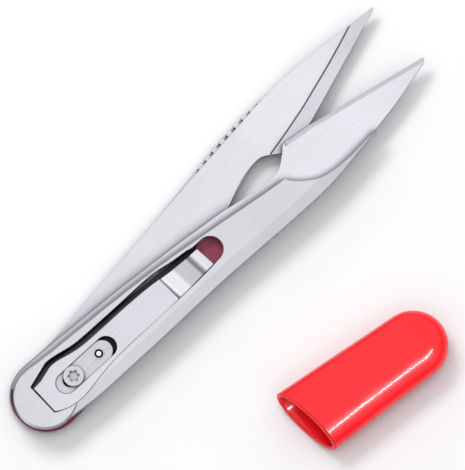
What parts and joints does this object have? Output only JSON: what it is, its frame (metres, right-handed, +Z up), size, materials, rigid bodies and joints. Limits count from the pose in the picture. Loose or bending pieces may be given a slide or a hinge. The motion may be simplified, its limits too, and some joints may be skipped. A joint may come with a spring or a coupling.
{
  "type": "thread snips",
  "caption": "All-steel thread snips with two pressed halves on a rear screw pivot, sliding thumb lock and a loose red vinyl tip cap.",
  "frame": {"origin": "on the pivot axis, in the plane the snips rest on", "axes": "+X from the pivot to the blade tips, +Z up through the pivot screw, +Y towards the lower half's blade"},
  "size_m": [0.1268, 0.0739, 0.0092],
  "materials": {
    "blade_steel": "ground satin blade steel",
    "shell_steel": "fine satin pressed stainless sheet",
    "cover_steel": "fine satin stainless sheet",
    "screw_steel": "turned stainless steel",
    "spring_steel": "bright spring steel",
    "slider_steel": "satin stainless steel",
    "eyelet_steel": "bright tubular rivet",
    "red_fibre": "dark red vulcanised fibre",
    "red_vinyl": "glossy dip-moulded soft vinyl"
  },
  "bodies": {
    "back_half": {"back_blade": "blade_steel", "back_shell": "shell_steel", "back_studs": "shell_steel", "pivot_barrel": "screw_steel", "stop_post": "screw_steel", "friction_liner": "red_fibre"},
    "front_half": {"front_blade": "blade_steel", "front_shell": "shell_steel", "front_studs": "shell_steel", "cover_plate": "cover_steel", "cover_standoffs": "cover_steel", "spring_pillar": "screw_steel", "tension_leaf": "spring_steel", "leaf_rivets": "cover_steel", "glide_pad": "red_fibre", "opening_spring": "spring_steel"},
    "thumb_lock": {"lock_slider": "slider_steel", "lock_hook": "slider_steel", "lock_eyelet": "eyelet_steel"},
    "pivot_screw": {"tension_screw": "screw_steel"},
    "cap": {"blade_cap": "red_vinyl"}
  },
  "joints": [
    {"name": "snip_pivot", "type": "hinge", "parent": "back_half", "child": "front_half", "pos_m": [0, 0, 0], "axis": [0, 0, 1], "range_deg": [0, 9.2], "stiffness_Nm_per_rad": 1.2, "springref_deg": -4.58, "deforming": ["opening_spring"]},
    {"name": "lock_slide", "type": "slide", "parent": "front_half", "child": "thumb_lock", "axis": [0.9971, -0.0767, 0], "range_m": [0, 0.0012]},
    {"name": "screw_turn", "type": "hinge", "parent": "back_half", "child": "pivot_screw", "pos_m": [0, 0, 0], "axis": [0, 0, 1], "range_deg": [-60, 60]},
    {"name": "cap_slide", "type": "slide", "parent": "back_half", "child": "cap", "axis": [0.9806, -0.1959, 0], "range_m": [0, 0.042]}
  ]
}
